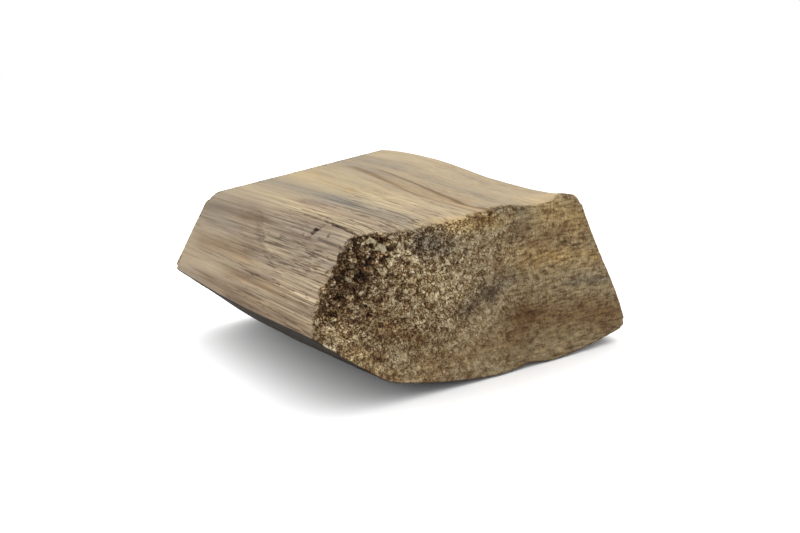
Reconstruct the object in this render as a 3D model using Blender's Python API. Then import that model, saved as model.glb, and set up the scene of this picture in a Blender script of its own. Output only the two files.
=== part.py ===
"""A chunk of hardwood for smoking food: split from a log along the grain, and sawn across it at both ends.

X runs along the grain, towards the sawn end with the torn corner. Y runs across the chunk, and Z is up.
The chunk lies on its underside. The origin is on that surface, under the middle of the chunk.
"""

import math

import bmesh
import bpy
from mathutils import Vector, noise

# Driving dimensions, in metres.
WIDTH = 0.0700  # across the underside, the longest way
LENGTH = 0.0640  # along the grain, at the right foot
LEFT_HEIGHT = 0.0286  # of the top at its left edge
RIGHT_HEIGHT = 0.0300  # of the top at its right edge, at the front end
BACK_HEIGHT = 0.0338  # of the top at its right edge, at the back end
FOOT_HEIGHT = 0.0138  # of the lower edge of the left face, which is undercut below it
LEFT_LEAN = 0.0063  # how far in the left face leans over its height
RIGHT_LEAN = 0.0150  # how far in the right face leans over its height
RIGHT_TAPER = 0.0020  # how far in the right foot lies at the back end
TOP_LEFT_LENGTH = 0.0515  # the back cut is oblique, so each long edge has its own length
TOP_RIGHT_LENGTH = 0.0610
FOOT_LEFT_LENGTH = 0.0562

LEFT = -WIDTH / 2
RIGHT = WIDTH / 2
FRONT = LENGTH / 2
BACK = -LENGTH / 2

# The four long edges, each with its point at the back end and its point at the front end. The height of the
# two lower ones comes from the shape of the underside.
TOP_LEFT = (
    Vector((FRONT - TOP_LEFT_LENGTH, LEFT + LEFT_LEAN, LEFT_HEIGHT)),
    Vector((FRONT, LEFT + LEFT_LEAN, LEFT_HEIGHT)),
)
TOP_RIGHT = (
    Vector((FRONT - TOP_RIGHT_LENGTH, RIGHT - RIGHT_LEAN, BACK_HEIGHT)),
    Vector((FRONT, RIGHT - RIGHT_LEAN, RIGHT_HEIGHT)),
)
FOOT_LEFT = (
    Vector((FRONT - FOOT_LEFT_LENGTH, LEFT, 0)),
    Vector((FRONT, LEFT, 0)),
)
FOOT_RIGHT = (
    Vector((BACK, RIGHT - RIGHT_TAPER, 0)),
    Vector((FRONT, RIGHT, 0)),
)

# The underside: a shallow belly, and a flat undercut that rises from it to the left face.
BELLY_MIDDLE = 0.0095  # the place across the chunk where the belly is lowest
BELLY_CURVE_LEFT = 4.2  # rise of the belly, in metres for each square metre of distance
BELLY_CURVE_RIGHT = 5.0
BELLY_FLAT = 0.0009  # how far the belly is flattened, which gives the chunk the flat spot it lies on
FLAT_MARGIN = 0.0070  # the flat spot fades out this far from the sawn ends
FLAT_FADE = 0.85  # how much of it is gone at the very ends
UNDERCUT_SLOPE = 0.73
UNDERCUT_BLEND = 0.0004  # how softly the undercut meets the belly
SWELL_HEIGHT = 0.0016  # how far the undercut swells down between the two ends
SWELL_FROM_LEFT = 0.0060
SWELL_REACH = 0.0080
SWELL_RUN = 0.42  # a share of the length
NICK_HEIGHT = 0.0009  # of the notch that the saw left in the front edge of the underside
NICK_FROM_LEFT = 0.0440
NICK_REACH = 0.0038

# The top: a warp along its right edge, and the dip, shoulder and burr that the saw left in its front edge. Each
# of these three has its height, its distance from the left side and its reach.
WARP_HEIGHT = 0.0006
WARP_REACH = 0.0200
FRONT_EDGE_FORMS = (
    (-0.0006, 0.0200, 0.0090),
    (0.0008, 0.0375, 0.0035),
    (0.0011, 0.0515, 0.0028),
)
FRONT_EDGE_RUN = 0.0050  # how far back from the front edge they and the nick reach

# The sides: the right face swells out a little, low down, and the upper left edge is worn round.
BULGE = 0.0009
BULGE_MIDDLE = 0.25  # shares of the face's height
BULGE_REACH = 0.30
WORN_DEPTH = 0.0007
WORN_REACH = 0.0026

# The corner of the front end that was torn out behind the saw cut.
TORN_DEPTH = 0.0022
TORN_MIDDLE_HEIGHT = 0.0190
TORN_RISE = 0.0060
TORN_REACH = 0.0075
TORN_ROUGH_REACH = 0.0110  # the rough surface reaches further than the hollow

# The lattice that the billet is scored into.
STRIPS_ALONG = 14
STRIPS_ACROSS = 58
STRIPS_UP = 25
CROWDING = 0.55  # nought gives even strips, and more crowds them towards the edges

# Relief of the surface.
RIDGE_RUN = 0.030  # a ridge keeps its shape this far along the grain
RIDGE_PITCH = 0.0021
RIDGE_HEIGHT = 0.00065
FLUTE_PITCH = 0.0075  # the wide, shallow waves that the split leaves
FLUTE_HEIGHT = 0.00035
CRUMB_PITCH = 0.0022
CRUMB_HEIGHT = 0.0009
TORN_CRUMB_HEIGHT = 0.0016
ARRIS_WEAR = 0.5  # how far the long edges are worn round
SAWN_WEAR = 0.12  # how far the sawn edges are

WOOD_COLOUR = (0.36, 0.27, 0.17, 1.0)
SHARP_ANGLE = math.radians(40)


def mix(start, end, share):
    """The value that lies this share of the way from start to end."""
    return start + (end - start) * share


def bump(value, middle, spread):
    """One at the middle, and close to nought beyond twice the spread."""
    return math.exp(-(((value - middle) / spread) ** 2))


def underside_height(y, along):
    """Height of the underside at y, for a place between the back end, at 0, and the front end, at 1."""
    from_end = min(along, 1 - along) * LENGTH
    from_front = (1 - along) * LENGTH
    from_left = y - LEFT
    flat = BELLY_FLAT * (1 - FLAT_FADE * bump(from_end, 0, FLAT_MARGIN))
    curve = BELLY_CURVE_LEFT if y < BELLY_MIDDLE else BELLY_CURVE_RIGHT
    nick = NICK_HEIGHT * bump(from_left, NICK_FROM_LEFT, NICK_REACH) * bump(from_front, 0, FRONT_EDGE_RUN)
    belly = curve * (y - BELLY_MIDDLE) ** 2 - flat + nick
    swell = SWELL_HEIGHT * bump(along, 0.5, SWELL_RUN) * bump(from_left, SWELL_FROM_LEFT, SWELL_REACH)
    undercut = FOOT_HEIGHT - UNDERCUT_SLOPE * from_left - swell
    gap = undercut - belly
    return (undercut + belly + math.hypot(gap, UNDERCUT_BLEND)) / 2


def top_relief(y, along):
    """Height of the warp in the top, and of the forms along its front edge."""
    from_front = (1 - along) * LENGTH
    wave = -WARP_HEIGHT * math.sin(math.tau * from_front / LENGTH)
    warp = wave * bump(y, RIGHT - RIGHT_LEAN, WARP_REACH)
    forms = sum(height * bump(y - LEFT, from_left, reach) for height, from_left, reach in FRONT_EDGE_FORMS)
    return warp + forms * bump(from_front, 0, FRONT_EDGE_RUN)


def end_recess(place):
    """How far the torn left corner of the front end lies behind the saw cut."""
    left_face = LEFT + LEFT_LEAN * (place.z - FOOT_HEIGHT) / (LEFT_HEIGHT - FOOT_HEIGHT)
    return TORN_DEPTH * bump(place.z, TORN_MIDDLE_HEIGHT, TORN_RISE) * bump(place.y, left_face, TORN_REACH)


def worn_off(across, up):
    """How much of the upper left edge is worn away. The wear fades out over the top and the left face."""
    over_top = across * (WIDTH - LEFT_LEAN - RIGHT_LEAN)
    down_face = (1 - up) * math.hypot(LEFT_LEAN, LEFT_HEIGHT - FOOT_HEIGHT)
    unworn = min(math.hypot(over_top, down_face) / WORN_REACH, 1)
    return WORN_DEPTH * (1 - unworn) ** 2


def billet_point(along, across, up):
    """Where a point of the billet's surface lies in the chunk. Each share runs from 0 to 1."""
    foot = mix(mix(*FOOT_LEFT, along), mix(*FOOT_RIGHT, along), across)
    top = mix(mix(*TOP_LEFT, along), mix(*TOP_RIGHT, along), across)
    foot.z = underside_height(foot.y, along)
    top.z += top_relief(top.y, along)
    place = mix(foot, top, up)
    place.y += across * BULGE * bump(up, BULGE_MIDDLE, BULGE_REACH)
    place.x -= along * end_recess(place)
    left_face_out = Vector((0, FOOT_HEIGHT - LEFT_HEIGHT, LEFT_LEAN)).normalized()
    outward = (left_face_out + Vector((0, 0, 1))).normalized()
    return place - outward * worn_off(across, up)


def crowded(share):
    """The share, moved so that even steps of it become short near 0 and near 1."""
    return mix(share, (1 - math.cos(math.pi * share)) / 2, CROWDING)


def scored_billet():
    """A unit block, scored right round into strips along each axis, with its low corner at the origin."""
    billet = bmesh.new()
    bmesh.ops.create_cube(billet, size=1)
    bmesh.ops.translate(billet, verts=billet.verts, vec=(0.5, 0.5, 0.5))
    for axis, strips in enumerate((STRIPS_ALONG, STRIPS_ACROSS, STRIPS_UP)):
        lengthwise = [e for e in billet.edges if abs(e.verts[0].co[axis] - e.verts[1].co[axis]) > 0.5]
        bmesh.ops.subdivide_edges(billet, edges=lengthwise, cuts=strips - 1, use_grid_fill=True)
    for vertex in billet.verts:
        vertex.co = [crowded(share) for share in vertex.co]
    return billet


def rim(billet, axis):
    """The vertices on the four edges of the unit block that run along this axis."""
    across = [other for other in range(3) if other != axis]
    return [v for v in billet.verts if all(min(v.co[other], 1 - v.co[other]) < 1e-4 for other in across)]


def grain_relief(place):
    """Height of the ridges and flutes, which run along the grain."""
    ridge = Vector((place.x / RIDGE_RUN, place.y / RIDGE_PITCH, place.z / RIDGE_PITCH))
    flute = Vector((place.x / RIDGE_RUN, place.y / FLUTE_PITCH, place.z / FLUTE_PITCH))
    return RIDGE_HEIGHT * noise.noise(ridge) + FLUTE_HEIGHT * noise.noise(flute)


def crumb_relief(place):
    """Height of the broken fibre ends, which stand up furthest at the torn corner."""
    torn = bump(place.y, LEFT + LEFT_LEAN / 2, TORN_ROUGH_REACH) if place.x > 0 else 0
    height = mix(CRUMB_HEIGHT, TORN_CRUMB_HEIGHT, torn)
    return height * noise.noise(place / CRUMB_PITCH)


def roughen(chunk):
    """Raise the relief along each vertex's normal: ridges on the split faces, crumbs on the sawn ends."""
    chunk.normal_update()
    raised = {}
    for vertex in chunk.verts:
        endwise = vertex.normal.x**2
        height = mix(grain_relief(vertex.co), crumb_relief(vertex.co), endwise)
        raised[vertex] = vertex.co + vertex.normal * height
    for vertex, place in raised.items():
        place.z = max(place.z, 0)
        vertex.co = place


def wood(name):
    """Dry, split hardwood: matt, and tan."""
    material = bpy.data.materials.new(name)
    material.use_nodes = True
    shader = material.node_tree.nodes["Principled BSDF"]
    shader.inputs["Base Color"].default_value = WOOD_COLOUR
    shader.inputs["Roughness"].default_value = 0.85
    shader.inputs["Metallic"].default_value = 0
    return material


def wood_chunk():
    """The whole chunk, as one solid."""
    chunk = scored_billet()
    wear = [(rim(chunk, axis), ARRIS_WEAR if axis == 0 else SAWN_WEAR) for axis in range(3)]
    for vertex in chunk.verts:
        vertex.co = billet_point(*vertex.co)
    every_way = {"use_axis_x": True, "use_axis_y": True, "use_axis_z": True}
    for edge, amount in wear:
        bmesh.ops.smooth_vert(chunk, verts=edge, factor=amount, **every_way)
    roughen(chunk)
    bmesh.ops.triangulate(chunk, faces=chunk.faces)
    mesh = bpy.data.meshes.new("wood_chunk")
    chunk.to_mesh(mesh)
    chunk.free()
    mesh.shade_smooth()
    mesh.set_sharp_from_angle(angle=SHARP_ANGLE)
    mesh.materials.append(wood("hardwood"))
    return bpy.data.objects.new("wood_chunk", mesh)


for old in list(bpy.data.objects):
    bpy.data.objects.remove(old)
parts = bpy.data.collections.new("Smoking wood chunk")
bpy.context.scene.collection.children.link(parts)
parts.objects.link(wood_chunk())
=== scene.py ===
import math

import bmesh
import bpy
import numpy as np
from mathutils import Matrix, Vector, noise


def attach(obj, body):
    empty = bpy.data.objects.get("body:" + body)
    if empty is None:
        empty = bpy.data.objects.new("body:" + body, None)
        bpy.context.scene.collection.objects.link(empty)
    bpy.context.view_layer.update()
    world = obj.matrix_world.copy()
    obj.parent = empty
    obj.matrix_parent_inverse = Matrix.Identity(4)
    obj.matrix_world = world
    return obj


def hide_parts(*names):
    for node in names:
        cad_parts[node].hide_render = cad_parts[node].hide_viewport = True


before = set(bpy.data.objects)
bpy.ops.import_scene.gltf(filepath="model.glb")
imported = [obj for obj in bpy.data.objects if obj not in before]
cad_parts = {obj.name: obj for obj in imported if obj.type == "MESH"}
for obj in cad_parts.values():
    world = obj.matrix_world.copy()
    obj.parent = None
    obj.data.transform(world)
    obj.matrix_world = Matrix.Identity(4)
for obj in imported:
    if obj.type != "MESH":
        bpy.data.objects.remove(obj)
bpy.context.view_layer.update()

# The view: from 17 cm away and a little above the wood, off the corner between the torn end and the left
# face. Its lens is 37.6 mm long, on a sensor 36 mm wide, and the horizon is level.
view_from = Vector((0.13425, -0.09343, 0.05351))
view_along = Vector((-0.78828, 0.56804, -0.23652))
lens = bpy.data.cameras.new("view")
lens.sensor_width = 36
lens.lens = 37.62
lens.clip_start = 0.001
camera = bpy.data.objects.new("view", lens)
camera.location = view_from
camera.rotation_euler = view_along.to_track_quat("-Z", "Y").to_euler()
bpy.context.scene.collection.objects.link(camera)
bpy.context.scene.camera = camera

# The chunk: one billet of dry hardwood, with X along its grain. It was split from a log on four sides and cut
# across at both ends with a coarse saw, which left the end grain crumbly and tore out the front left corner.
# The sizes are in millimetres.
MM = 0.001
WIDTH, LENGTH = 70.0, 64.0
LEFT, RIGHT = -WIDTH / 2, WIDTH / 2
FRONT, BACK = LENGTH / 2, -LENGTH / 2
LEFT_HEIGHT, RIGHT_HEIGHT, BACK_HEIGHT, FOOT_HEIGHT = 28.6, 30.0, 33.8, 13.8
LEFT_LEAN, RIGHT_LEAN, RIGHT_TAPER = 6.3, 15.0, 2.0
TOP_LEFT_LENGTH, TOP_RIGHT_LENGTH, FOOT_LEFT_LENGTH = 51.5, 61.0, 56.2

# The four long edges, each with its point at the back end and its point at the front end. The height of the
# two lower ones comes from the shape of the underside.
TOP_LEFT = (
    Vector((FRONT - TOP_LEFT_LENGTH, LEFT + LEFT_LEAN, LEFT_HEIGHT)),
    Vector((FRONT, LEFT + LEFT_LEAN, LEFT_HEIGHT)),
)
TOP_RIGHT = (
    Vector((FRONT - TOP_RIGHT_LENGTH, RIGHT - RIGHT_LEAN, BACK_HEIGHT)),
    Vector((FRONT, RIGHT - RIGHT_LEAN, RIGHT_HEIGHT)),
)
FOOT_LEFT = (
    Vector((FRONT - FOOT_LEFT_LENGTH, LEFT, 0)),
    Vector((FRONT, LEFT, 0)),
)
FOOT_RIGHT = (
    Vector((BACK, RIGHT - RIGHT_TAPER, 0)),
    Vector((FRONT, RIGHT, 0)),
)

# The underside: a shallow belly, and a flat undercut that rises from it to the left face.
BELLY_MIDDLE = 9.5  # the place across the chunk where the belly is lowest
BELLY_CURVE_LEFT = 0.0042  # rise of the belly, in millimetres for each square millimetre of distance
BELLY_CURVE_RIGHT = 0.0050
BELLY_FLAT = 0.9  # how far the belly is flattened, which gives the chunk the flat spot it lies on
FLAT_MARGIN = 7.0  # the flat spot fades out this far from the sawn ends
FLAT_FADE = 0.85  # how much of it is gone at the very ends
UNDERCUT_SLOPE = 0.73
UNDERCUT_BLEND = 0.4  # how softly the undercut meets the belly
SWELL_HEIGHT = 1.6  # how far the undercut swells down between the two ends
SWELL_FROM_LEFT = 6.0
SWELL_REACH = 8.0
SWELL_RUN = 0.42  # a share of the length
NICK_HEIGHT = 0.9  # of the notch that the saw left in the front edge of the underside
NICK_FROM_LEFT = 44.0
NICK_REACH = 3.8

# The top: a warp along its right edge, and the dip, shoulder and burr that the saw left in its front edge.
# Each of these three has its height, its distance from the left side and its reach.
WARP_HEIGHT = 0.6
WARP_REACH = 20.0
FRONT_EDGE_FORMS = ((-0.6, 20.0, 9.0), (0.8, 37.5, 3.5), (1.1, 51.5, 2.8))
FRONT_EDGE_RUN = 5.0  # how far back from the front edge they and the nick reach

# The sides: the right face swells out a little, low down, and the upper left edge is worn round.
BULGE = 0.9
BULGE_MIDDLE, BULGE_REACH = 0.25, 0.30  # shares of the face's height
WORN_DEPTH = 0.7
WORN_REACH = 2.6

# The corner of the front end that was torn out behind the saw cut.
TORN_DEPTH = 2.2
TORN_MIDDLE_HEIGHT = 19.0
TORN_RISE = 6.0
TORN_REACH = 7.5


def mix(start, end, share):
    """The value that lies this share of the way from start to end."""
    return start + (end - start) * share


def bump(value, middle, spread):
    """One at the middle, and close to nought beyond twice the spread."""
    return math.exp(-(((value - middle) / spread) ** 2))


def ease(value, low, high):
    """Nought below low, one above high, and smooth between them."""
    share = min(max((value - low) / (high - low), 0), 1)
    return share * share * (3 - 2 * share)


def underside_height(y, along):
    """A shallow belly, flattened where the chunk lies on it, and an undercut that rises to the left face."""
    from_end = min(along, 1 - along) * LENGTH
    from_front = (1 - along) * LENGTH
    from_left = y - LEFT
    flat = BELLY_FLAT * (1 - FLAT_FADE * bump(from_end, 0, FLAT_MARGIN))
    curve = BELLY_CURVE_LEFT if y < BELLY_MIDDLE else BELLY_CURVE_RIGHT
    nick = NICK_HEIGHT * bump(from_left, NICK_FROM_LEFT, NICK_REACH) * bump(from_front, 0, FRONT_EDGE_RUN)
    belly = curve * (y - BELLY_MIDDLE) ** 2 - flat + nick
    swell = SWELL_HEIGHT * bump(along, 0.5, SWELL_RUN) * bump(from_left, SWELL_FROM_LEFT, SWELL_REACH)
    undercut = FOOT_HEIGHT - UNDERCUT_SLOPE * from_left - swell
    gap = undercut - belly
    return (undercut + belly + math.hypot(gap, UNDERCUT_BLEND)) / 2


def top_relief(y, along):
    """Height of the warp in the top, and of the forms along its front edge."""
    from_front = (1 - along) * LENGTH
    wave = -WARP_HEIGHT * math.sin(math.tau * from_front / LENGTH)
    warp = wave * bump(y, RIGHT - RIGHT_LEAN, WARP_REACH)
    forms = sum(height * bump(y - LEFT, from_left, reach) for height, from_left, reach in FRONT_EDGE_FORMS)
    return warp + forms * bump(from_front, 0, FRONT_EDGE_RUN)


def end_recess(place):
    """How far the torn left corner of the front end lies behind the saw cut."""
    left_face = LEFT + LEFT_LEAN * (place.z - FOOT_HEIGHT) / (LEFT_HEIGHT - FOOT_HEIGHT)
    return TORN_DEPTH * bump(place.z, TORN_MIDDLE_HEIGHT, TORN_RISE) * bump(place.y, left_face, TORN_REACH)


def worn_off(across, up):
    """How much of the upper left edge is worn away. The wear fades out over the top and the left face."""
    over_top = across * (WIDTH - LEFT_LEAN - RIGHT_LEAN)
    down_face = (1 - up) * math.hypot(LEFT_LEAN, LEFT_HEIGHT - FOOT_HEIGHT)
    unworn = min(math.hypot(over_top, down_face) / WORN_REACH, 1)
    return WORN_DEPTH * (1 - unworn) ** 2


def billet_point(along, across, up):
    """Where a point of the billet's surface lies in the chunk. Each share runs from 0 to 1."""
    foot = mix(mix(*FOOT_LEFT, along), mix(*FOOT_RIGHT, along), across)
    top = mix(mix(*TOP_LEFT, along), mix(*TOP_RIGHT, along), across)
    foot.z = underside_height(foot.y, along)
    top.z += top_relief(top.y, along)
    place = mix(foot, top, up)
    place.y += across * BULGE * bump(up, BULGE_MIDDLE, BULGE_REACH)
    place.x -= along * end_recess(place)
    left_face_out = Vector((0, FOOT_HEIGHT - LEFT_HEIGHT, LEFT_LEAN)).normalized()
    outward = (left_face_out + Vector((0, 0, 1))).normalized()
    return place - outward * worn_off(across, up)


# The block is scored into strips. At the front and at the left they are this share of an even strip's width.
STRIPS = (84, 222, 100)  # along, across and up
FRONT_STRIPS, LEFT_STRIPS = 0.42, 0.65


def scored_billet():
    """A unit block, scored into strips along each axis. They are finest at the left and at the front."""
    billet = bmesh.new()
    bmesh.ops.create_cube(billet, size=1)
    bmesh.ops.translate(billet, verts=billet.verts, vec=(0.5, 0.5, 0.5))
    for axis, count in enumerate(STRIPS):
        lengthwise = [e for e in billet.edges if abs(e.verts[0].co[axis] - e.verts[1].co[axis]) > 0.5]
        bmesh.ops.subdivide_edges(billet, edges=lengthwise, cuts=count - 1, use_grid_fill=True)
    for vertex in billet.verts:
        along, across, up = vertex.co
        behind = 1 - along
        vertex.co = (1 - behind * mix(FRONT_STRIPS, 1, behind), across * mix(LEFT_STRIPS, 1, across), up)
    return billet


# The torn corner is coarse up to a border that wanders. Near the top the border stands upright, below its
# bend it leans out to the left, and single coarse crumbs lie scattered beyond it.
BORDER_AT_TOP = -20.7
BORDER_BEND = 25.6
BORDER_SLOPE = 0.83
BORDER_BLEND = 1.3
BORDER_WAVES = ((2.2, 2.6, 5), (1.6, 0.9, 9))  # the height and pitch of each, and its place in the noise
SCATTER_REACH = 5.5
SCATTER_PITCH = 1.3
SCATTER_SHARE = 0.8
COARSE_FROM, COARSE_FULLY = 13.0, 16.5  # heights between which the coarse part begins


def is_torn(y, z):
    """One in the coarse corner of the front end, where the fibres broke off before the saw was through."""
    border = BORDER_AT_TOP - BORDER_SLOPE * max(BORDER_BEND - z, 0)
    for height, pitch, seed in BORDER_WAVES:
        border += height * noise.noise(Vector((y, z, seed)) / pitch)
    inside = ease(border - y, -BORDER_BLEND, BORDER_BLEND)
    scattered = SCATTER_SHARE * ease(border + SCATTER_REACH - y, -1.5, 2.0)
    scattered *= ease(noise.noise(Vector((y, z, 2)) / SCATTER_PITCH), 0.0, 0.3)
    return max(inside, scattered) * ease(z, COARSE_FROM, COARSE_FULLY)


def crumbs(place, size):
    """Height of a bed of crumbs, from about -0.5 to 0.5: each has a height of its own and a round top."""
    gaps, seeds = noise.voronoi(place / size)
    own = noise.cell(seeds[0] * 17.3)
    return own - 0.5 + 0.45 * (0.45 - gaps[0])


def along_grain(place, run, pitch):
    """Noise in streaks along the grain, which change over the run, and a pitch apart across the grain."""
    return noise.noise(Vector((place.x / run, place.y / pitch, place.z / pitch)))


# In the middle of the top the grain lies at a slant.
WANDER, WANDER_MIDDLE, WANDER_REACH = 0.10, 2.0, 10.0


def carried(place):
    """How far the grain has wandered across from where it lies at the front."""
    return WANDER * bump(place.y, WANDER_MIDDLE, WANDER_REACH) * (place.x - FRONT)


def crack(place, start, end, width, flat):
    """One on the line from start to end, and nought beyond its width, seen along the flattened direction."""
    start, end = Vector(start), Vector(end)
    line = end - start
    share = min(max((place - start).dot(line) / line.length_squared, 0), 1)
    aside = (place - start - line * share) * Vector(flat)
    return 1 - ease(aside.length, 0.4 * width, 1.2 * width)


def spotted(place, spots, blur):
    """One inside these spots of the sawn end, and nought outside them, with a blurred border."""
    return max(ease(size - math.hypot(place.y - y, place.z - z), -blur, blur) for y, z, size in spots)


# Cracks and holes, each with its start, its end, its width and how black the painted shade inside it is. Each
# is seen from above or from the left, and how far a point lies from it along that view counts for little.
FROM_ABOVE, FROM_LEFT = (1.0, 1.0, 0.2), (1.0, 0.1, 1.0)
CRACKS_ON_TOP = (
    ((12.0, -25.3, 28.6), (20.0, -25.5, 28.6), 0.18, 0.7),
    ((18.5, -25.4, 28.6), (24.0, -26.0, 28.5), 0.22, 0.9),
    ((23.0, -26.1, 28.5), (28.6, -26.5, 28.4), 0.26, 1.0),
    ((27.5, -26.6, 28.4), (31.8, -26.9, 28.2), 0.18, 0.9),
    ((8.0, -23.3, 28.7), (18.0, -23.6, 28.7), 0.14, 0.5),
    ((14.5, -21.9, 28.8), (22.0, -22.0, 28.8), 0.12, 0.5),
    ((21.0, -22.0, 28.8), (30.0, -23.0, 28.8), 0.16, 0.6),
    ((17.0, -24.0, 28.7), (30.0, -24.9, 28.7), 0.14, 0.6),
    ((2.0, -20.2, 28.9), (14.0, -20.4, 28.9), 0.14, 0.35),
    ((8.0, -12.9, 29.6), (28.0, -14.2, 29.1), 0.16, 0.5),
    ((12.0, -17.2, 29.0), (32.0, -17.6, 28.9), 0.16, 0.4),
    ((18.0, -18.9, 28.9), (33.0, -19.3, 28.8), 0.16, 0.5),
)
CRACKS_ON_LEFT = (
    ((20.3, -29.2, 27.1), (20.9, -28.9, 27.9), 0.42, 1.0),
    ((20.8, -28.9, 27.9), (21.6, -28.7, 28.2), 0.28, 0.9),
    ((16.8, -29.1, 27.4), (17.0, -29.1, 27.4), 0.18, 0.3),
    ((17.9, -29.4, 26.8), (18.2, -29.4, 26.8), 0.18, 0.5),
    ((25.1, -29.0, 27.6), (25.3, -29.0, 27.6), 0.16, 0.6),
    ((30.6, -28.9, 27.8), (30.8, -28.9, 27.8), 0.20, 0.6),
    ((23.0, -29.4, 26.9), (31.0, -29.4, 26.6), 0.13, 0.5),
    ((11.0, -29.9, 25.4), (12.4, -29.9, 25.3), 0.26, 0.3),
)
CRACKS = [(*line[:3], FROM_ABOVE, line[3]) for line in CRACKS_ON_TOP]
CRACKS += [(*line[:3], FROM_LEFT, line[3]) for line in CRACKS_ON_LEFT]

# Deep pits and pale chips in the torn corner, each with its place across and up, and its size.
PITS = (
    (-23.4, 27.2, 0.40),
    (-21.3, 25.7, 0.50),
    (-26.8, 24.5, 0.45),
    (-28.9, 24.6, 0.40),
    (-30.0, 22.4, 0.50),
    (-27.8, 23.6, 0.35),
    (-32.3, 19.6, 0.45),
    (-29.2, 19.2, 0.60),
    (-32.7, 16.9, 0.40),
    (-26.0, 21.6, 0.40),
)

CHIPS = (
    (-25.0, 27.4, 0.62),
    (-22.9, 26.1, 0.62),
    (-24.0, 26.3, 0.32),
    (-26.6, 27.3, 0.35),
    (-21.2, 27.6, 0.40),
    (-19.6, 26.3, 0.35),
    (-28.3, 27.0, 0.30),
    (-25.3, 25.0, 0.28),
    (-30.6, 20.9, 0.30),
    (-28.2, 21.6, 0.34),
    (-26.2, 19.3, 0.34),
    (-31.4, 18.2, 0.30),
)

# Relief of the sawn ends: small crumbs and broad lumps, and in the torn corner coarse crumbs and pits too.
# The right side of the front end is calmer than the left.
CRUMB_SIZE, COARSE_SIZE, LUMP_SIZE = 0.50, 0.95, 2.2
SAWN_CRUMB_HEIGHT, SAWN_LUMP_HEIGHT = 0.24, 0.22
TORN_CRUMB_HEIGHT, TORN_COARSE_HEIGHT, TORN_LUMP_HEIGHT = 0.22, 0.85, 0.45
PIT_DEPTH, PIT_BLUR = 0.7, 0.25
CHIP_HEIGHT, CHIP_BLUR = 0.3, 0.15
CALMEST = 0.45
CALM_FROM, CALM_FULLY = -8.0, 12.0

# Two more places on the front end are somewhat coarse: its low left corner, and the middle of its top rim.
LOW_CORNER, LOW_CORNER_REACH, LOW_CORNER_ROUGHNESS = (-28.0, 10.0), 5.0, 0.45
RIM_MIDDLE, RIM_REACH, RIM_ROUGHNESS = -3.0, 9.0, 0.5
RIM_DEPTH = 0.05  # a share of the height

# Relief of the split faces: ridges and wide flutes along the grain, and fine grooves between the fibres.
RIDGE_RUN, RIDGE_PITCH, RIDGE_HEIGHT = 30.0, 2.1, 0.24
FLUTE_PITCH, FLUTE_HEIGHT = 7.5, 0.28
FIBRE_RUN, FIBRE_PITCH, FIBRE_HEIGHT = 16.0, 0.42, 0.04
GROOVE_DEPTH = 0.13
CRACK_DEPTH = 0.30

# On the left face a layer of fibres has peeled off in front of a curved step. The hollow fades out forwards.
PEEL_START, PEEL_TOP, PEEL_CURVE = 4.0, 27.0, 0.25
PEEL_FADE_FROM, PEEL_FADE_TO = 14.0, 30.0
PEEL_WAVE = 1.1  # how far the line of the step wanders, and at what pitch
PEEL_DEPTH = 0.42
LEFT_FACE_FROM, LEFT_FACE_FULLY = -28.0, -29.0  # the left face lies beyond these places across
TOP_FROM, TOP_FULLY = -27.0, -25.8  # and the top lies on the other side of these

# Along the sawn edges chips have broken out of the split faces, most of all at the torn corner.
EDGE_CHIP_REACH, EDGE_CHIP_DEPTH = 1.6, 0.5
CLUMP_SIZE, SMALL_CLUMP_SIZE = 1.3, 0.6
LEAST_RAGGED = 0.06
MEAN_HEIGHT = 25.0  # of the chunk, near enough to tell how far a point lies from an edge

chunk = scored_billet()
shares = [vertex.co.copy() for vertex in chunk.verts]
for vertex in chunk.verts:
    vertex.co = billet_point(*vertex.co)

# The long edges are rubbed round, and the sawn ones stay sharp.
RUBBED_REACH, RUBS = 1.6, 10
rubbed = [
    v
    for v, (along, across, up) in zip(chunk.verts, shares)
    if min(across, 1 - across) * WIDTH < RUBBED_REACH and min(up, 1 - up) * LEFT_HEIGHT < RUBBED_REACH
]
for _ in range(RUBS):
    bmesh.ops.smooth_vert(chunk, verts=rubbed, factor=0.5, use_axis_x=True, use_axis_y=True, use_axis_z=True)

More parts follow.
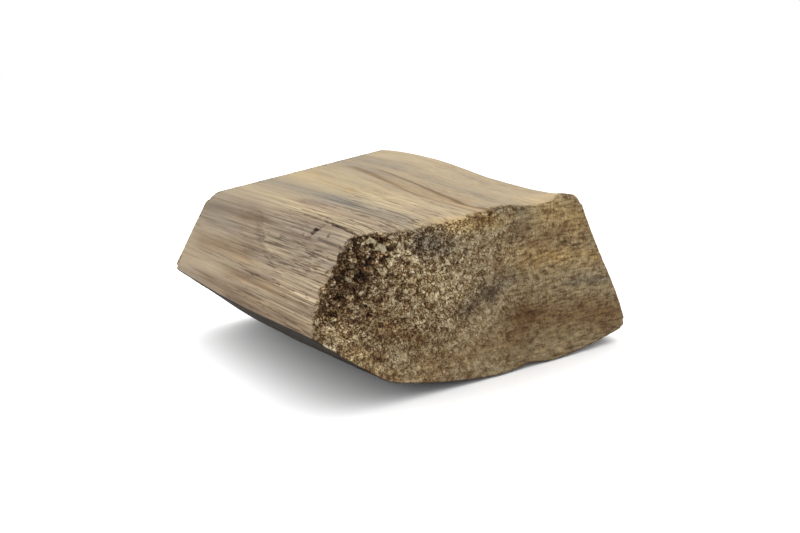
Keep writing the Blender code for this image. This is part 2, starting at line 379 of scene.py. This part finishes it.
chunk.normal_update()
carved, sawn, hollow_shade, crumb_highlight_and_chips, coarseness = [], [], [], [], []
side, streaky, under, ledge_light_and_shade, wandered = [], [], [], [], []
for vertex, (along, across, up) in zip(chunk.verts, shares):
    place, normal = vertex.co, vertex.normal
    at_front = along > 0.9
    from_end = min(along, 1 - along) * LENGTH
    from_side = min(min(across, 1 - across) * WIDTH, min(up, 1 - up) * MEAN_HEIGHT)
    from_edge = math.hypot(from_end, from_side)

    # The end grain: small crumbs all over it, and coarse ones with pits between them in the torn corner.
    torn = is_torn(place.y, place.z) if at_front else 0
    from_low_corner = math.hypot(place.y - LOW_CORNER[0], place.z - LOW_CORNER[1])
    low_corner = LOW_CORNER_ROUGHNESS * bump(from_low_corner, 0, LOW_CORNER_REACH) if at_front else 0
    rim = bump(place.y, RIM_MIDDLE, RIM_REACH)
    top_rim = RIM_ROUGHNESS * rim * bump(1 - up, 0, RIM_DEPTH) if at_front else 0
    rough = max(torn, low_corner, top_rim)
    fine = crumbs(place, CRUMB_SIZE)
    coarse = crumbs(place, COARSE_SIZE)
    lump = noise.noise(place / LUMP_SIZE)
    pitted = spotted(place, PITS, PIT_BLUR) * torn
    chipped = spotted(place, CHIPS, CHIP_BLUR) if at_front else 0
    calm = mix(1.0, CALMEST, ease(place.y, CALM_FROM, CALM_FULLY))
    sawn_height = SAWN_CRUMB_HEIGHT * calm * fine + SAWN_LUMP_HEIGHT * lump
    torn_height = TORN_CRUMB_HEIGHT * fine + TORN_COARSE_HEIGHT * coarse + TORN_LUMP_HEIGHT * lump
    end_height = mix(sawn_height, torn_height, rough) + CHIP_HEIGHT * chipped - PIT_DEPTH * pitted
    end_height *= mix(0.5, 1, ease(from_side, 0, 1.2))

    # The split faces: long ridges, with fine grooves between the fibres.
    wander = carried(place)
    ridges = RIDGE_HEIGHT * along_grain(place, RIDGE_RUN, RIDGE_PITCH)
    ridges += FLUTE_HEIGHT * along_grain(place, RIDGE_RUN, FLUTE_PITCH)
    fibre = along_grain(place + Vector((0, wander, 0)), FIBRE_RUN, FIBRE_PITCH)
    on_top = ease(place.y, TOP_FROM, TOP_FULLY) if up > 0.999 else 0
    groove = ease(-fibre, 0.15, 0.50) * mix(1.0, 0.4, on_top)
    step = PEEL_START + PEEL_CURVE * max(PEEL_TOP - place.z, 0) ** 2
    step += PEEL_WAVE * noise.noise(Vector((0, 0, place.z / PEEL_WAVE)))
    on_left = ease(-place.y, -LEFT_FACE_FROM, -LEFT_FACE_FULLY)
    peeled = ease(place.x - step, -0.2, 0.5) * ease(place.z, 20.0, 22.5) * on_left
    peeled *= 1 - ease(place.x, PEEL_FADE_FROM, PEEL_FADE_TO)
    split_height = ridges - GROOVE_DEPTH * groove + FIBRE_HEIGHT * fibre - PEEL_DEPTH * peeled

    # The sawn edges: chips broken out of them show end grain on the top and sides.
    clump = noise.noise(place / CLUMP_SIZE) + 0.5 * noise.noise(place / SMALL_CLUMP_SIZE)
    fringe = ease(up, 0.9, 1) * ease(along, 0.5, 0.9) * (0.40 + 0.75 * rim)
    ragged = max(torn, fringe, LEAST_RAGGED)
    chip_reach = EDGE_CHIP_REACH * ragged * (1 + 1.3 * clump)
    edge_chip = EDGE_CHIP_DEPTH * ragged * (1 - ease(from_edge, 0, max(chip_reach, 0.05)))
    bared = max(chip_reach, 0.1)
    is_end = from_end < 1e-4
    share_sawn = 1.0 if is_end else 1 - ease(from_edge, 0.6 * bared, bared)
    kept = mix(ease(from_edge, -0.3, 0.9), 1, min(2 * ragged, 1))
    height = mix(split_height, end_height, share_sawn) * kept - edge_chip * ease(clump, -0.2, 0.6)

    near_arris = place.y < -12 and place.z > 25 and place.x > 0
    cracked = max(crack(place, *line[:4]) * line[4] for line in CRACKS) if near_arris else 0
    moved = place + normal * (height - CRACK_DEPTH * cracked)
    moved.z = max(moved.z, 0)
    carved.append(moved)

    # What the material has to know of the place: how much of it is end grain, where shade is painted into the
    # hollows of the relief, and where highlight is painted onto the raised crumbs and the pale chips lie.
    share_split = 1 - share_sawn
    sawn.append(share_sawn)
    coarseness.append(share_sawn * rough * (1 - chipped))
    side.append((1 - on_top) * share_split)
    wandered.append(wander)
    on_side = mix(0.45, 1.0, ease(place.x, -22, 8)) if place.y < 0 else 0.6
    over_top = mix(0.38, 0.95, ease(-place.y, 0, 16) * ease(place.x, -12, 12))
    streaky.append(mix(on_side, over_top, on_top) * share_split)
    under.append(1.0 if up < 1e-4 else 0.0)
    # Painted shade: the gaps between crumbs, the pits and the grooves between fibres are darkened.
    fine_gap = 0.5 * calm * ease(-fine, 0.22, 0.50)
    coarse_gap = 0.8 * ease(-coarse - 0.4 * fine, 0.18, 0.55)
    low = max(mix(fine_gap, coarse_gap, rough), 0.8 * pitted)
    hollow_shade.append(mix(0.30 * groove, low * (1 - chipped), share_sawn))
    # Painted highlight: raised crumbs are paler. The pale chips are counted here too, for their own colour.
    raised = mix(0.5 + calm * fine, 0.5 + 0.9 * coarse + 0.3 * fine, rough)
    crumb_highlight_and_chips.append(share_sawn * max(raised, 1.6 * chipped))
    # Painted light at the peeled step: a painted highlight on one side of it and painted shade on the other.
    on_ledge = ease(place.z, 19, 21) * ease(27.5 - place.z, 0, 1) * on_left * share_split
    ledge_light = 0.16 * bump(place.x, step + 0.9, 0.8)
    ledge_shade = 0.20 * bump(place.x, step - 0.9, 0.9)
    ledge_light_and_shade.append(on_ledge * (ledge_light - ledge_shade))
for vertex, moved in zip(chunk.verts, carved):
    vertex.co = moved * MM

chunk_mesh = bpy.data.meshes.new("hardwood_chunk")
chunk.to_mesh(chunk_mesh)
chunk.free()
chunk_mesh.shade_smooth()
carvings = {
    "sawn": sawn,
    "hollow_shade": hollow_shade,
    "crumb_highlight_and_chips": crumb_highlight_and_chips,
    "coarse": coarseness,
    "streaky": streaky,
    "wandered": wandered,
}
for name, values in carvings.items():
    chunk_mesh.attributes.new(name, "FLOAT", "POINT").data.foreach_set("value", values)

# The stains: sap, fungus and weather have coloured the wood in streaks, most of them along the grain. Each
# has a start, an end, a reach in X, Y and Z about the line between them, a tint that multiplies the wood's
# own colour, and a strength.
CREAM, GREY, SLATE = (1.16, 1.17, 1.18), (0.70, 0.75, 0.87), (0.60, 0.61, 0.67)
RUSTY, MAUVE = (0.58, 0.47, 0.38), (0.74, 0.70, 0.78)
BROWN, OCHRE, DARK, SOOT = (0.72, 0.62, 0.52), (1.04, 0.84, 0.58), (0.58, 0.53, 0.52), (0.32, 0.27, 0.25)
YELLOW, GOLD, LIGHT = (1.18, 1.18, 1.08), (1.24, 1.16, 0.96), (1.34, 1.36, 1.36)
STAINS = (
    # on the top
    ((-24, -14.7, 30), (8, -14.8, 30), (5, 2.6, 4), GREY, 0.85),
    ((6, -15.0, 30), (35, -15.3, 28), (5, 2.8, 4), GREY, 1.0),
    ((6, -19.4, 29), (34, -20.6, 28.6), (6, 1.7, 2), MAUVE, 0.8),
    ((-22, -8.2, 31), (15, -7.0, 30), (5, 2.9, 4), YELLOW, 1.0),
    ((12, -7.6, 30), (33, -8.0, 29), (5, 3.0, 4), CREAM, 1.0),
    # pale wood with a painted highlight along the worn upper left edge
    ((-20, -20.5, 29.6), (10, -20.8, 29), (6, 2.2, 2), CREAM, 0.4),
    ((6, -22.5, 29), (33, -23.8, 28.7), (5, 1.3, 2), CREAM, 0.6),
    ((-26, 4.5, 32), (34, 0.2, 29.5), (5, 1.6, 3), GREY, 0.6),
    ((-8, 5.3, 31), (33, -1.2, 29), (3, 0.50, 2), RUSTY, 1.2),
    ((-16, 3.1, 31), (33, -3.8, 29), (3, 0.36, 2), RUSTY, 1.0),
    ((2, 1.6, 30), (26, -1.4, 29.6), (5, 2.2, 2), OCHRE, 0.35),
    ((-28, 9.0, 33), (-10, 9.5, 32), (5, 3.0, 3), GREY, 0.7),
    ((2, 9.0, 31), (31, 5.5, 29.8), (4, 1.2, 3), GREY, 0.6),
    ((-20, 15.0, 33), (32, 14.0, 30), (6, 4.5, 3), CREAM, 0.8),
    ((-19, -5.2, 31), (-17, -5.4, 31), (1.6, 0.9, 2), OCHRE, 0.6),
    ((0, -9.1, 30), (2, -9.2, 30), (1.5, 0.8, 2), OCHRE, 0.4),
    ((21, 2.9, 30), (23, 2.7, 30), (1.6, 0.9, 1.5), OCHRE, 0.6),
    # on the left face
    ((-18, -29.5, 26.4), (1, -29.0, 27.4), (4, 2, 1.1), DARK, 0.75),
    ((6, -28.9, 27.6), (32, -28.7, 27.3), (3, 3, 1.2), GREY, 0.45),
    ((-14, -32.1, 20.4), (2, -31.8, 20.8), (4, 2, 1.5), BROWN, 0.8),
    ((2, -31.6, 21.5), (20, -31.3, 22.3), (4, 2, 0.8), SLATE, 0.6),
    ((6, -31.5, 24.5), (30, -31.5, 24.0), (5, 2, 1.0), GREY, 0.6),
    ((0, -33.6, 17.0), (18, -33.4, 17.6), (4, 2, 0.7), BROWN, 0.7),
    ((23, -32.6, 19.3), (31, -31.8, 21.3), (4, 2, 2.2), CREAM, 1.2),
    ((-23, -33.9, 16.0), (-10, -33.6, 16.6), (3, 2, 1.5), CREAM, 0.8),
    ((-22, -30.0, 24.5), (-8, -30.0, 24.5), (6, 3, 4.0), GREY, 0.4),
    ((-22, -26.0, 29.0), (-4, -25.5, 28.8), (5, 3, 2.0), GREY, 0.4),
    ((-1, -29.3, 27.0), (3, -29.2, 27.2), (2.5, 1.5, 0.9), BROWN, 0.8),
    ((5, -33.2, 17.8), (12, -32.9, 18.7), (3, 2, 0.7), MAUVE, 0.6),
    ((-8, -34.8, 14.4), (27, -34.8, 14.6), (5, 2, 1.3), BROWN, 0.8),
    ((2, -35.0, 13.2), (30, -35.0, 13.2), (5, 2, 0.8), DARK, 0.9),
    ((10, -29.8, 26.0), (22, -29.8, 26.0), (4, 2, 0.7), MAUVE, 0.6),
    ((-16, -31.0, 23.3), (3, -30.5, 24.3), (4, 2, 0.8), CREAM, 0.6),
    # on the front end
    ((32, -25.0, 25.5), (32, -32.0, 15.0), (4, 3.0, 3.0), DARK, 0.2),
    ((32, -17.0, 23.0), (32, -12.0, 16.8), (6, 4.6, 2.8), LIGHT, 0.85),
    ((32, -24.0, 13.8), (32, -16.0, 10.2), (6, 2.8, 2.0), BROWN, 1.2),
    ((32, -28.0, 27.8), (32, -16.0, 26.9), (3, 3.0, 0.8), LIGHT, 1.0),
    ((32, -32.5, 19.8), (32, -31.0, 16.5), (4, 1.4, 1.4), LIGHT, 0.8),
    ((32, 4.0, 23.0), (32, 14.0, 20.5), (6, 4.0, 4.0), OCHRE, 0.3),
    ((32, -13.0, 29.0), (32, -1.0, 27.8), (3, 4.0, 1.4), GOLD, 1.4),
    ((32, -13.0, 5.0), (32, 5.0, 6.4), (6, 5.0, 4.0), BROWN, 1.0),
    ((32, 9.0, 20.2), (32, 28.0, 18.6), (6, 4.0, 1.9), GOLD, 0.9),
    ((32, 13.0, 28.0), (32, 20.5, 25.5), (6, 4.0, 3.0), GOLD, 1.1),
    ((32, 18.0, 14.6), (32, 31.0, 13.4), (6, 2.0, 0.8), GREY, 0.9),
    ((32, 7.0, 10.0), (32, 32.0, 6.2), (6, 4.0, 3.2), BROWN, 1.3),
    ((32, -6.0, 13.6), (32, -1.0, 15.3), (4, 2.1, 1.3), SOOT, 0.8),
    ((32, -1.0, 15.4), (32, 4.0, 17.6), (4, 2.4, 1.7), SLATE, 0.9),
    ((32, 7.0, 14.6), (32, 14.0, 15.4), (5, 3.0, 0.7), CREAM, 0.7),
    ((32, 12.5, 20.3), (32, 15.5, 20.0), (3, 1.4, 0.6), LIGHT, 0.6),
    ((32, -23.5, 24.6), (32, -17.5, 23.2), (4, 1.3, 1.0), LIGHT, 0.8),
    ((32, -17.2, 19.3), (32, -16.4, 19.0), (3, 0.8, 0.5), RUSTY, 1.0),
    ((32, -14.3, 15.5), (32, -13.4, 15.1), (3, 0.7, 0.5), RUSTY, 1.0),
    ((32, 5.2, 26.5), (32, 7.2, 25.4), (3, 1.1, 0.9), RUSTY, 0.9),
    ((32, 8.2, 23.1), (32, 9.8, 22.3), (3, 1.0, 0.7), RUSTY, 1.1),
    ((32, 0.2, 20.8), (32, 1.4, 18.6), (3, 1.0, 0.9), RUSTY, 1.0),
    ((32, 3.5, 10.8), (32, 9.0, 10.0), (4, 1.8, 1.2), RUSTY, 0.8),
    ((32, 28.5, 4.2), (32, 31.5, 3.2), (4, 1.4, 1.0), RUSTY, 0.9),
    ((32, -25.0, 8.8), (32, -24.0, 8.2), (4, 1.0, 0.7), RUSTY, 0.7),
    ((32, 12.5, 23.4), (32, 17.0, 24.6), (4, 1.4, 0.9), RUSTY, 0.8),
    ((32, -15.5, 25.6), (32, -10.0, 24.8), (4, 2.6, 2.0), SLATE, 1.0),
    ((32, -25.0, 9.5), (32, -22.0, 8.8), (5, 1.8, 1.2), BROWN, 0.6),
    ((32, -33.0, 15.2), (32, -27.5, 14.4), (5, 1.6, 1.2), LIGHT, 0.6),
    ((32, -30.5, 13.2), (32, -28.5, 11.0), (6, 2.2, 1.9), LIGHT, 1.4),
    ((32, -28.0, 10.0), (32, -24.0, 7.0), (5, 1.8, 1.5), GOLD, 0.7),
    ((32, -21.6, 13.6), (32, -20.6, 13.0), (4, 1.4, 1.0), LIGHT, 0.9),
    ((32, -22.0, 5.0), (32, -14.0, 4.2), (6, 2.0, 2.0), GOLD, 0.3),
    ((32, -26.0, 6.6), (32, -20.0, 4.2), (4, 1.2, 0.5), RUSTY, 0.8),
    ((32, -13.0, 2.4), (32, -2.0, 1.2), (4, 2.0, 0.5), RUSTY, 0.6),
    ((32, 5.0, 1.0), (32, 12.0, 1.0), (4, 2.0, 0.8), RUSTY, 0.6),
    ((32, 1.0, 26.0), (32, 9.0, 28.0), (6, 2.4, 1.2), GREY, 0.2),
    # on the back end
    ((-20, -24.0, 21.0), (-28, 12.0, 26.0), (5, 5.0, 2.6), GOLD, 0.9),
    ((-22, -14.0, 14.0), (-30, 22.0, 17.0), (5, 5.0, 2.0), BROWN, 0.9),
    ((-24, 0.0, 6.0), (-31, 26.0, 6.0), (5, 4.0, 2.2), GREY, 0.8),
    ((-20, -20.0, 27.0), (-26, -8.0, 28.0), (5, 3.0, 1.8), SLATE, 0.8),
    # dark specks on the front end
    ((32, 15.7, 21.9), (32, 20.5, 21.4), (3, 0.5, 0.25), SOOT, 0.9),
    ((32, 3.8, 24.7), (32, 4.4, 24.6), (3, 0.8, 0.5), SLATE, 0.9),
)

# The colours of the wood itself, and the painted shade that tints the split sides and the underside.
SPLIT_WOOD = np.array((0.270, 0.214, 0.136))
END_GRAIN = np.array((0.555, 0.492, 0.328))
SIDE_SHADE = np.array((0.87, 0.87, 0.92))
UNDERSIDE_SHADE = np.array((0.07, 0.06, 0.05))
DRIFT_PITCH = (14.0, 2.5, 2.5)  # a stain's outline wanders this often, and this far, in X, Y and Z
DRIFT = (3.0, 0.9, 0.9)
DRIFT_SEED = 2  # the vector noise would be another one in each run without it

noise.seed_set(DRIFT_SEED)
drift = [noise.noise_vector(Vector([part / pitch for part, pitch in zip(v, DRIFT_PITCH)])) for v in carved]
lain = np.array([v[:] for v in carved]) + np.array([d[:] for d in drift]) * DRIFT
share_sawn = np.array(sawn)[:, None]
colour = SPLIT_WOOD * (1 - share_sawn) + END_GRAIN * share_sawn
for start, end, reach, tint, strength in STAINS:
    start, line = np.array(start), np.array(end) - start
    share = np.clip((lain - start) @ line / (line @ line), 0, 1)
    off = (lain - start - share[:, None] * line) / reach
    weight = strength * np.exp(-(off**2).sum(axis=1))
    colour *= 1 + weight[:, None] * (np.array(tint) - 1)
# Painted shade: the underside is darkened, most of all along the undercut below the left face.
from_undercut = np.clip((lain[:, 1] + 5) / 8, 0, 1)[:, None]
shaded_beneath = np.array(under)[:, None] * (1 - 0.4 * from_undercut)
colour *= 1 + shaded_beneath * (UNDERSIDE_SHADE - 1)
# Painted shade: every split face but the top is darker than the top.
colour *= 1 + np.array(side)[:, None] * (SIDE_SHADE - 1)
# painted highlight and shade along the peeled step
colour *= 1 + np.array(ledge_light_and_shade)[:, None]
stained = np.column_stack((colour, np.ones(len(colour))))
chunk_mesh.attributes.new("stained", "FLOAT_COLOR", "POINT").data.foreach_set("color", stained.ravel())

# Bare, dry hardwood. Its texture lies in the solid of the wood: fibres along X on the split faces, and pores,
# rings and rays where the saw crossed them. All lengths are in millimetres.
hardwood = bpy.data.materials.new("hardwood")
hardwood.use_nodes = True
bare_wood = hardwood.node_tree.nodes["Principled BSDF"]


def node(kind, inputs, output=0, **settings):
    """Add a node with these settings, feed it numbers or other nodes' outputs, and give its output."""
    made = hardwood.node_tree.nodes.new("ShaderNode" + kind)
    for name, value in settings.items():
        setattr(made, name, value)
    for name, value in inputs.items():
        if isinstance(value, bpy.types.NodeSocket):
            hardwood.node_tree.links.new(value, made.inputs[name])
        else:
            made.inputs[name].default_value = value
    return made.outputs[output]


def carved_share(name):
    """A number that the carving left at each point of the wood."""
    return node("Attribute", {}, output=2, attribute_name=name)


def even(colour):
    """One colour all over."""
    source = node("RGB", {})
    source.default_value = (*colour, 1)
    return source


def times(one, two):
    """The product of two numbers."""
    return node("Math", {0: one, 1: two}, operation="MULTIPLY")


def between(value, low, high, start=0.0, end=1.0):
    """The value's place between low and high, carried to the range from start to end."""
    return node("MapRange", {0: value, 1: low, 2: high, 3: start, 4: end})


def blended(share, one, two, blend="MIX"):
    """Two colours, blended in this way to the extent of the share."""
    return node("Mix", {0: share, 6: one, 7: two}, output=2, data_type="RGBA", blend_type=blend)


def tinted(colour, share, tint):
    """The colour, multiplied by the tint where the share is one."""
    return blended(share, colour, (*tint, 1), blend="MULTIPLY")


def layered(colour, layers):
    """The colour, tinted by each pattern between where it starts to show and where it shows in full."""
    for pattern, start, full, share, tint in layers:
        colour = tinted(colour, times(share, between(pattern, start, full)), tint)
    return colour


def grain(place, size, detail=2.0, roughness=0.5):
    """Noise from nought to one, stretched to this size along X, Y and Z."""
    stretched = node("VectorMath", {0: place, 1: size}, operation="DIVIDE")
    return node("TexNoise", {"Vector": stretched, "Scale": 1.0, "Detail": detail, "Roughness": roughness})


def cells(place, size, feature="F1", output=0):
    """Irregular cells of this size: the distance to a cell's middle or edge, or its own random colour."""
    scaled = node("VectorMath", {0: place, 1: size}, operation="DIVIDE")
    return node("TexVoronoi", {"Vector": scaled, "Scale": 1.0}, output=output, feature=feature)


where = node("VectorMath", {0: node("TexCoord", {}, output=3), "Scale": 1 / MM}, operation="SCALE")
where_xyz = node("SeparateXYZ", {0: where}).node.outputs
slid = node("Math", {0: carved_share("wandered"), 1: where_xyz[1]}, operation="ADD")
lying = node("CombineXYZ", {0: where_xyz[0], 1: slid, 2: where_xyz[2]})
end_share = carved_share("sawn")
split_share = node("Math", {0: 1.0, 1: end_share}, operation="SUBTRACT")
coat = node("Attribute", {}, attribute_name="stained")

# The split faces: broad bands and streaks, and thin lines where the vessels are cut open, dark ones and pale
# ones. The lines show least on the top, and less towards the back.
line_share = carved_share("streaky")
fine_share = times(line_share, between(where_xyz[0], -4, 16, 0.40, 1.2))
bands = grain(lying, (70, 4.5, 4.5))
streaks = grain(lying, (34, 1.0, 1.0))
vessels = grain(lying, (16, 0.24, 0.24), detail=3.0, roughness=0.6)
dashes = grain(lying, (3.0, 0.22, 0.22), detail=1.0)
clusters = between(grain(lying, (24, 2.2, 2.2)), 0.38, 0.60, 0.35, 1.0)
clustered = times(fine_share, clusters)
SPLIT_LAYERS = (
    (bands, 0.50, 0.72, split_share, (0.86, 0.86, 0.90)),
    (bands, 0.50, 0.30, split_share, (1.08, 1.07, 1.02)),
    (streaks, 0.50, 0.64, line_share, (0.78, 0.73, 0.71)),
    (streaks, 0.48, 0.32, line_share, (1.12, 1.11, 1.09)),
    (vessels, 0.48, 0.38, clustered, (0.38, 0.32, 0.29)),
    (vessels, 0.53, 0.63, fine_share, (1.38, 1.36, 1.32)),
    (dashes, 0.38, 0.31, clustered, (0.42, 0.32, 0.27)),
)
coat = layered(coat, SPLIT_LAYERS)

# The sawn ends: rings about the pith, rays across them, blotches and rust. On the right of the front end the
# saw left level strokes as well.
PITH = (0.0, 20.0, -20.0)
from_pith = node("VectorMath", {0: where, 1: PITH}, operation="SUBTRACT")
pith_xyz = node("SeparateXYZ", {0: from_pith}).node.outputs
crosswise = node("CombineXYZ", {1: pith_xyz[1], 2: pith_xyz[2]})
radius = node("VectorMath", {0: crosswise}, output=1, operation="LENGTH")
angle = node("Math", {0: pith_xyz[2], 1: pith_xyz[1]}, operation="ARCTAN2")
around = times(angle, 40.0)
polar = node("CombineXYZ", {0: where_xyz[0], 1: around, 2: radius})
rings = grain(polar, (40, 22, 1.1), detail=1.0)
rays = grain(polar, (6, 0.30, 1.3), detail=2.0)
blotches = grain(where, (3, 1.5, 1.2), detail=2.0)
rust = grain(where, (4, 1.9, 1.6), detail=3.0)
strokes = grain(where, (4, 2.6, 0.46), detail=3.0)
stroke_share = times(end_share, between(where_xyz[1], -8.0, 8.0))

# The crumbs, with painted shade in the gaps and curled flakes between them. They stand out most near the torn
# corner.
crumb_share = times(end_share, between(where_xyz[1], -16.0, 10.0, 1.15, 0.42))
crumb_share = times(crumb_share, between(where_xyz[2], 4.0, 15.0, 0.55, 1.0))
bent = node("TexNoise", {"Vector": where, "Scale": 1.6, "Detail": 2.0}, output=1)
bed = node("VectorMath", {0: bent, 1: (0.6, 0.6, 0.6), 2: where}, operation="MULTIPLY_ADD")
shade = cells(bed, (1.0, 0.72, 0.72), output=1)
gaps = between(cells(bed, (1.0, 0.72, 0.72), feature="DISTANCE_TO_EDGE"), 0.20, 0.05)
gap_shade_depth = between(grain(where, (3, 1.1, 1.1)), 0.40, 0.60, 0.15, 1.0)
grit = grain(where, (0.5, 0.26, 0.26), detail=1.0)
swirl = grain(bed, (0.9, 0.60, 0.50), detail=3.0)
from_curl = node("Math", {0: swirl, 1: 0.5}, operation="SUBTRACT")
curls = node("Math", {0: from_curl}, operation="ABSOLUTE")
crumb_height = carved_share("crumb_highlight_and_chips")

# In the torn corner the crumbs are coarse: pale or dark pieces, with painted shade in the clefts between
# them.
coarse_share = carved_share("coarse")
pieces = cells(bed, (1.2, 0.75, 0.75), output=1)
cleft_shade = cells(bed, (1.2, 0.75, 0.75), feature="DISTANCE_TO_EDGE")
END_LAYERS = (
    (rings, 0.46, 0.68, end_share, (0.80, 0.77, 0.72)),
    (rays, 0.56, 0.68, end_share, (0.66, 0.59, 0.52)),
    (blotches, 0.52, 0.68, end_share, (0.62, 0.54, 0.48)),
    (blotches, 0.46, 0.32, end_share, (1.25, 1.24, 1.20)),
    (rust, 0.58, 0.72, end_share, (1.04, 0.90, 0.74)),
    (strokes, 0.50, 0.64, stroke_share, (0.56, 0.49, 0.41)),
    (strokes, 0.48, 0.34, stroke_share, (1.30, 1.28, 1.22)),
    (shade, 0.52, 0.80, crumb_share, (1.24, 1.26, 1.32)),
    (shade, 0.45, 0.20, crumb_share, (0.46, 0.38, 0.28)),
    # painted shade in the gaps between crumbs
    (gaps, 0.0, 1.0, times(crumb_share, gap_shade_depth), (0.30, 0.22, 0.14)),
    (grit, 0.48, 0.38, crumb_share, (0.40, 0.32, 0.22)),
    (grit, 0.56, 0.68, crumb_share, (1.12, 1.13, 1.16)),
    (curls, 0.055, 0.018, crumb_share, (0.24, 0.16, 0.10)),
    # painted highlight on the raised crumbs
    (crumb_height, 0.60, 1.05, 1.0, (1.20, 1.21, 1.24)),
    (pieces, 0.44, 0.56, coarse_share, (1.70, 1.82, 2.05)),
    (pieces, 0.43, 0.28, coarse_share, (0.50, 0.40, 0.30)),
    # painted shade in the clefts
    (cleft_shade, 0.16, 0.04, coarse_share, (0.28, 0.19, 0.12)),
)
speckles = layered(even((1, 1, 1)), END_LAYERS)

# The speckles are kept from growing too pale, and then they tint the coat. The right of the front end is
# darker as a whole, and painted shade darkens the hollows of the relief everywhere.
PALEST = (0.72, 0.72, 0.73, 1)
dulled = times(end_share, between(where_xyz[1], -10.0, 10.0, 0.9, 0.35))
speckles = blended(dulled, speckles, PALEST, blend="DARKEN")
coat = blended(1.0, coat, speckles, blend="MULTIPLY")
coat = tinted(coat, stroke_share, (0.54, 0.495, 0.44))
coat = tinted(coat, carved_share("hollow_shade"), (0.46, 0.34, 0.23))

# The pale chips keep one colour.
chip_share = between(crumb_height, 1.08, 1.30, 0.0, 0.8)
coat = blended(chip_share, coat, even((0.43, 0.38, 0.25)))

# The cracks and pits are painted all but black inside, as painted shade, and the border of each wanders a
# little.
CRACK_SHADE_TINT = (0.20, 0.15, 0.12)
BORDER_SOFTNESS = 0.22
edge_wander = grain(where, (2.5, 0.6, 0.6))


def with_painted_shade(coat, middle, flat, width, strength):
    """The coat, darkened by painted shade within this width of a place that may itself be worked out by
    nodes.
    """
    aside = node("VectorMath", {0: where, 1: middle}, operation="SUBTRACT")
    seen = node("VectorMath", {0: aside, 1: flat}, operation="MULTIPLY")
    reach = node("VectorMath", {0: seen}, output=1, operation="LENGTH")
    border = between(edge_wander, 0.3, 0.7, 0.1 * width, 1.5 * width)
    outer = node("Math", {0: border, 1: BORDER_SOFTNESS}, operation="ADD")
    inside = between(reach, outer, border)
    return tinted(coat, times(inside, strength), CRACK_SHADE_TINT)


for start, end, width, flat, strength in CRACKS:
    line = Vector(end) - Vector(start)
    off = node("VectorMath", {0: where, 1: start}, operation="SUBTRACT")
    share = node("VectorMath", {0: off, 1: line / line.length_squared}, output=1, operation="DOT_PRODUCT")
    share = node("Clamp", {"Value": share})
    nearest = node("VectorMath", {0: share, 1: line, 2: start}, operation="MULTIPLY_ADD")
    coat = with_painted_shade(coat, nearest, flat, width, strength)
for across, up, size in PITS:
    coat = with_painted_shade(coat, (FRONT, across, up), (0.1, 1.0, 1.0), 0.7 * size, 0.7)
hardwood.node_tree.links.new(coat, bare_wood.inputs["Base Color"])

# The finest relief is a bump: vessels on the split faces, and grit between gaps on the sawn ends.
end_relief = node("Math", {0: grit, 1: times(gaps, -0.7)}, operation="ADD")
relief = node("Math", {0: times(split_share, vessels), 1: times(end_share, end_relief)}, operation="ADD")
bumps = node("Bump", {"Height": relief, "Strength": 0.8, "Distance": 0.14 * MM})
hardwood.node_tree.links.new(bumps, bare_wood.inputs["Normal"])
bare_wood.inputs["Roughness"].default_value = 0.85
bare_wood.inputs["Specular IOR Level"].default_value = 0.2
chunk_mesh.materials.append(hardwood)

chunk_object = bpy.data.objects.new("hardwood_chunk", chunk_mesh)
bpy.context.scene.collection.objects.link(chunk_object)
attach(chunk_object, "root")
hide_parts("wood_chunk")

# The floor: a wide sheet of matt white paper under the chunk. It lies a hair below the wood, so that the two
# surfaces don't meet.
floor_mesh = bpy.data.meshes.new("floor")
sheet = bmesh.new()
bmesh.ops.create_grid(sheet, x_segments=1, y_segments=1, size=3)
sheet.to_mesh(floor_mesh)
sheet.free()
floor = bpy.data.objects.new("floor", floor_mesh)
floor.location.z = -0.0002
bpy.context.scene.collection.objects.link(floor)
paper = bpy.data.materials.new("white paper")
paper.use_nodes = True
paper.node_tree.nodes["Principled BSDF"].inputs["Base Color"].default_value = (0.88, 0.88, 0.88, 1)
paper.node_tree.nodes["Principled BSDF"].inputs["Roughness"].default_value = 0.9
floor_mesh.materials.append(paper)

# The light: a white room, and a broad, soft light from overhead, a little to the camera's left. They leave
# only a soft shadow under the chunk.
room = bpy.data.worlds.new("room")
room.use_nodes = True
room.node_tree.nodes["Background"].inputs["Color"].default_value = (1, 1, 1, 1)
room.node_tree.nodes["Background"].inputs["Strength"].default_value = 1.0
bpy.context.scene.world = room
skylight = bpy.data.lights.new("skylight", "SUN")
skylight.angle = math.radians(120)
skylight.energy = 3.0
lamp = bpy.data.objects.new("skylight", skylight)
lamp.rotation_euler = Vector((0.25, 0.20, -0.95)).to_track_quat("-Z", "Y").to_euler()
bpy.context.scene.collection.objects.link(lamp)
bpy.context.scene.view_settings.view_transform = "Standard"
